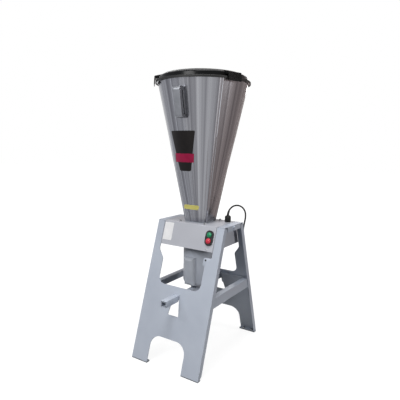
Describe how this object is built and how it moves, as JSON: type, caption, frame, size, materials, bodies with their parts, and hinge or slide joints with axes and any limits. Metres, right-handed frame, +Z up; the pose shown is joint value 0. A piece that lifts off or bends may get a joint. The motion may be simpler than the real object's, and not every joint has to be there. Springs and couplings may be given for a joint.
{
  "type": "commercial floor blender",
  "caption": "Tilting floor blender: tapered steel cup with black lid on a motor head that tips between two leaning sheet-steel frames, with a lock bar, push buttons and mains cord.",
  "frame": {"origin": "on the floor, midway between the four feet and under the cup's axis", "axes": "+X along the front to the right, +Y from front to back, +Z up; the front is -Y"},
  "size_m": [0.3975, 0.7113, 1.182],
  "materials": {
    "stand_paint": "satin light blue-grey paint",
    "foot_rubber": "matte",
    "zinc_steel": "zinc plated",
    "bronze": "machined",
    "motor_paint": "satin paint",
    "core_steel": "laminated",
    "copper": "enamelled copper",
    "cup_steel": "brushed stainless steel",
    "black_plastic": "moulded",
    "lid_black": "fine moulded texture",
    "lid_seal_rubber": "matte",
    "button_green": "gloss",
    "button_red": "gloss",
    "cord_black": "satin jacket",
    "plug_brass": "bright"
  },
  "bodies": {
    "stand": {"front_frame": "stand_paint", "rear_frame": "stand_paint", "front_foot_pads": "foot_rubber", "rear_foot_pads": "foot_rubber", "left_top_beam": "stand_paint", "right_top_beam": "stand_paint", "left_side_rail": "stand_paint", "right_side_rail": "stand_paint", "left_pivot_bolt": "zinc_steel", "right_pivot_bolt": "zinc_steel", "lock_bar_bracket": "stand_paint", "lock_bar_pin": "zinc_steel", "cord_run": "cord_black", "cord_coil": "cord_black", "plug_body": "black_plastic", "plug_blades": "plug_brass"},
    "lock_bar": {"lock_bar": "stand_paint"},
    "tilt_head": {"head_housing": "stand_paint", "left_pivot_bush": "bronze", "right_pivot_bush": "bronze", "motor_mount": "motor_paint", "motor_shell": "motor_paint", "lower_bearing_bracket": "motor_paint", "motor_end_cover": "motor_paint", "upper_bearing": "zinc_steel", "lower_bearing": "zinc_steel", "stator_core": "core_steel", "lower_winding": "copper", "upper_winding": "copper", "capacitor_cover": "motor_paint", "motor_bolts": "zinc_steel", "cup_gasket": "foot_rubber", "cup_shell": "cup_steel", "cup_hub": "cup_steel", "hub_bush": "bronze", "shaft_seal": "foot_rubber", "cup_handle": "cup_steel", "switch_plate": "black_plastic", "contact_block": "black_plastic", "cable_gland": "black_plastic", "gland_nut": "zinc_steel", "cord_loop": "cord_black"},
    "rotor": {"motor_shaft": "zinc_steel", "rotor_core": "core_steel", "cooling_fan": "black_plastic", "blade_spacer": "cup_steel", "lower_blade": "cup_steel", "blade_collar": "cup_steel", "upper_blade": "cup_steel", "blade_nut": "cup_steel"},
    "lid": {"lid": "lid_black", "lid_seal": "lid_seal_rubber"},
    "start_button": {"start_button": "button_green"},
    "stop_button": {"stop_button": "button_red"}
  },
  "joints": [
    {"name": "head_tilt", "type": "hinge", "parent": "stand", "child": "tilt_head", "pos_m": [0, 0, 0.552], "axis": [1, 0, 0], "range_deg": [0, 110]},
    {"name": "rotor_spin", "type": "hinge", "parent": "tilt_head", "child": "rotor", "pos_m": [0, 0, 0.4], "axis": [0, 0, 1], "continuous": true},
    {"name": "lid_lift", "type": "slide", "parent": "tilt_head", "child": "lid", "axis": [0, 0, 1], "range_m": [0, 0.15]},
    {"name": "start_press", "type": "slide", "parent": "tilt_head", "child": "start_button", "axis": [0, 0.9527, -0.304], "range_m": [0, 0.003], "stiffness_N_per_m": 400, "springref_m": -0.002},
    {"name": "stop_press", "type": "slide", "parent": "tilt_head", "child": "stop_button", "axis": [0, 0.9527, -0.304], "range_m": [0, 0.003], "stiffness_N_per_m": 400, "springref_m": -0.002},
    {"name": "bar_press", "type": "hinge", "parent": "stand", "child": "lock_bar", "pos_m": [0, 0.19414, 0.27], "axis": [1, 0, 0], "range_deg": [0, 8], "stiffness_Nm_per_rad": 8, "springref_deg": -20.05}
  ]
}
